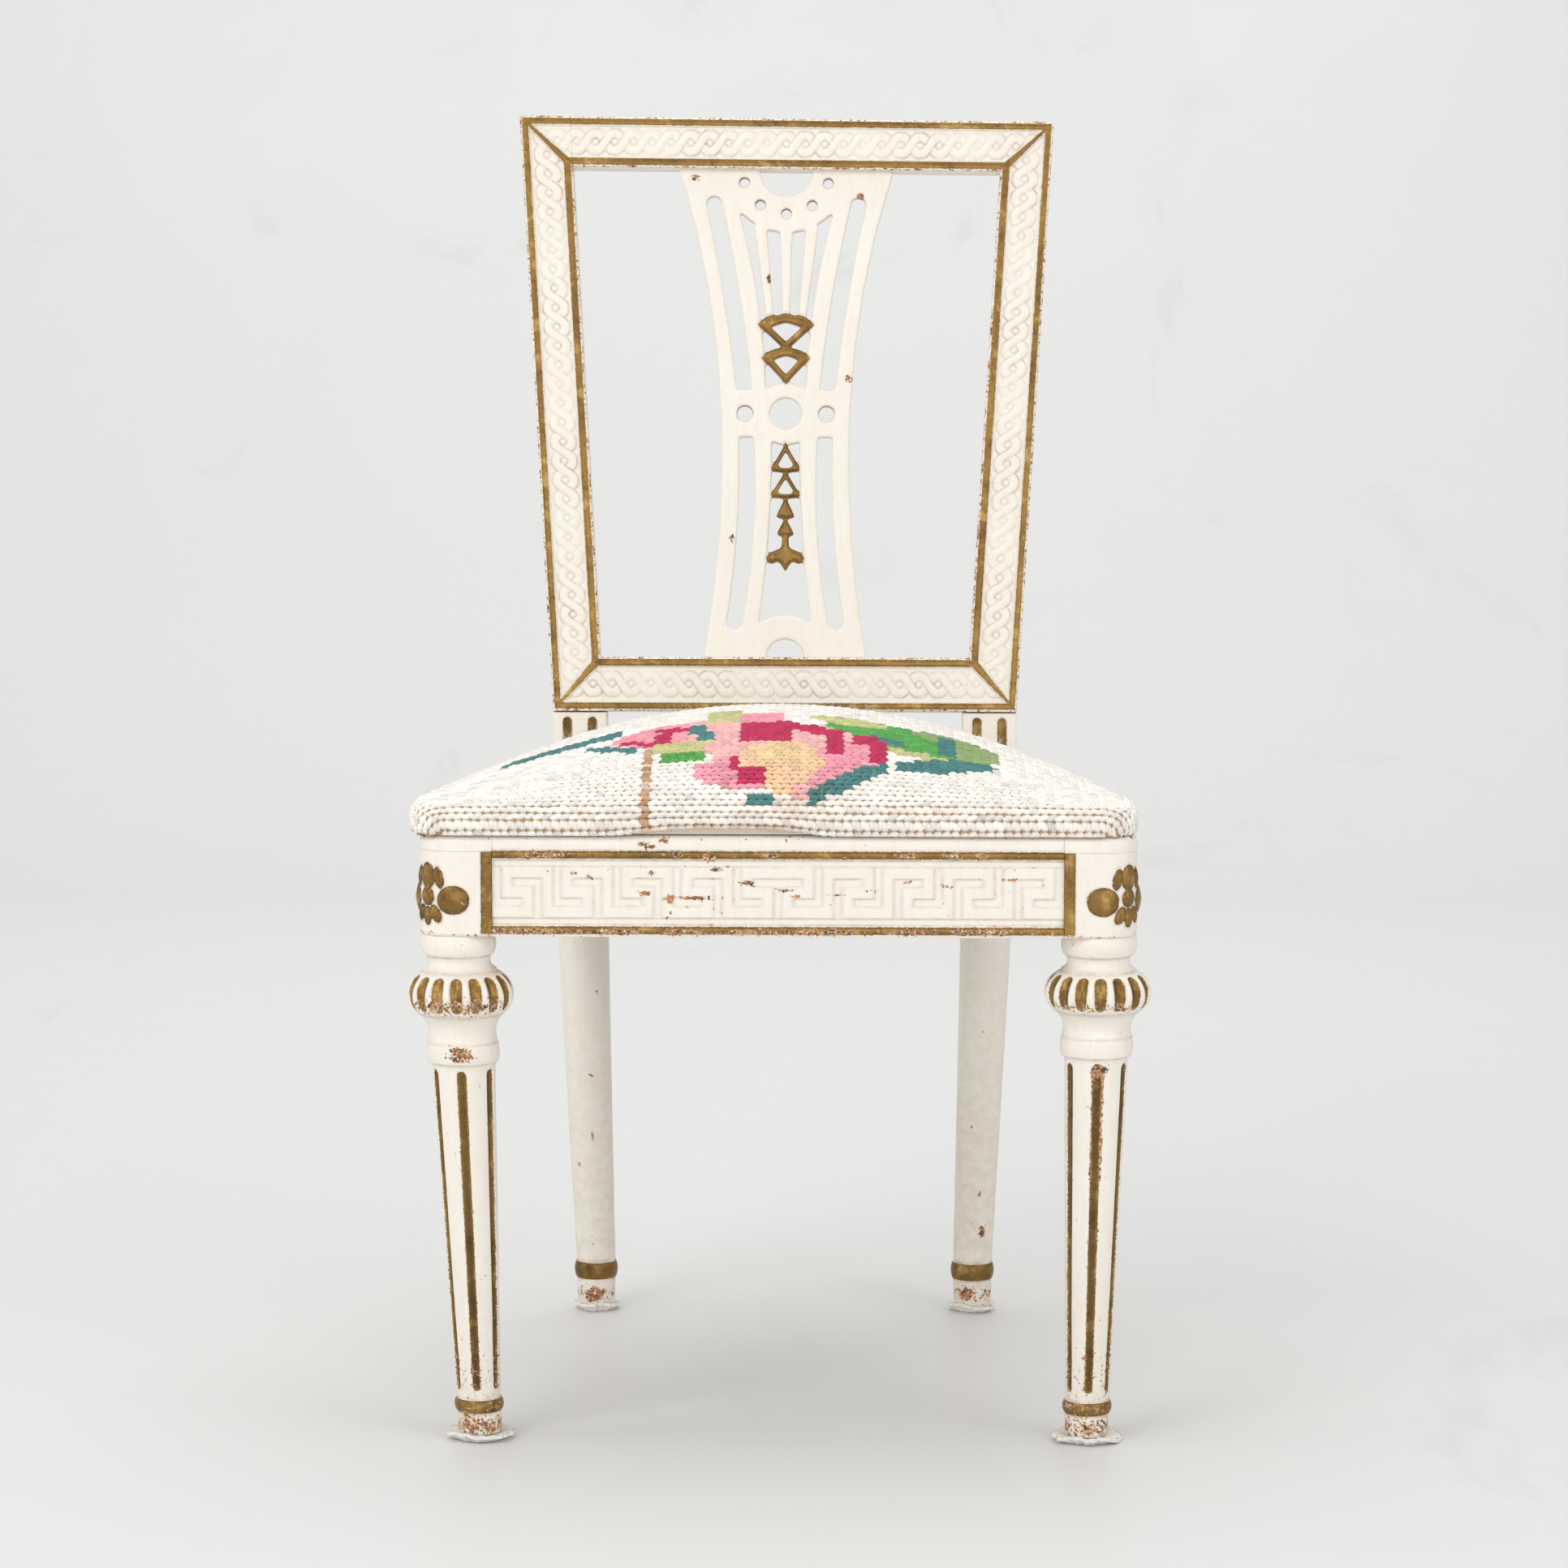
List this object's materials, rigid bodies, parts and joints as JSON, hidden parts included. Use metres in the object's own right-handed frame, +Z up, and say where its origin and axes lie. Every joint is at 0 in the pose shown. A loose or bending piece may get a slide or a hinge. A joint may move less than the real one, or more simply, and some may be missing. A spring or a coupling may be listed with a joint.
{
  "type": "chair",
  "caption": "Painted neoclassical side chair with fluted front legs, Greek key seat rails, a pierced splat back and a loose needlepoint seat that lifts out",
  "frame": {"origin": "on the floor under the middle of the chair's box", "axes": "+Z up, front of the chair towards -Y, +X to the right as seen from the front"},
  "size_m": [0.5076, 0.4832, 0.9211],
  "materials": {
    "painted_wood": "old cream paint with worn bronze gilding",
    "bare_wood": "raw pine, darkened by age",
    "cut_iron": "dull forged iron",
    "felt": "rough white felt",
    "jute_webbing": "woven jute straps",
    "hessian": "open jute cloth",
    "stuffing": "curled hair",
    "linen": "plain undyed linen",
    "needlepoint": "wool needlepoint in long-armed cross stitch"
  },
  "bodies": {
    "chair_frame": {"right_front_leg": "painted_wood", "left_front_leg": "painted_wood", "right_rear_leg": "painted_wood", "left_rear_leg": "painted_wood", "right_seat_rail": "painted_wood", "left_seat_rail": "painted_wood", "front_seat_rail": "painted_wood", "rear_seat_rail": "painted_wood", "crest_rail": "painted_wood", "lower_back_rail": "painted_wood", "back_splat": "painted_wood", "front_right_corner_block": "bare_wood", "front_left_corner_block": "bare_wood", "rear_right_corner_block": "bare_wood", "rear_left_corner_block": "bare_wood", "seat_rail_pegs": "bare_wood", "back_pegs": "bare_wood", "corner_block_nails": "cut_iron", "front_left_felt_pad": "felt", "front_right_felt_pad": "felt", "rear_left_felt_pad": "felt", "rear_right_felt_pad": "felt"},
    "loose_seat": {"front_seat_batten": "bare_wood", "rear_seat_batten": "bare_wood", "right_seat_batten": "bare_wood", "left_seat_batten": "bare_wood", "webbing_crosswise": "jute_webbing", "webbing_lengthwise": "jute_webbing", "webbing_tacks": "cut_iron", "seat_hessian": "hessian", "seat_stuffing": "stuffing", "seat_lining": "linen", "seat_cover": "needlepoint"}
  },
  "joints": [
    {"name": "seat_lift", "type": "slide", "parent": "chair_frame", "child": "loose_seat", "axis": [0, 0, 1], "range_m": [0, 0.2]}
  ]
}
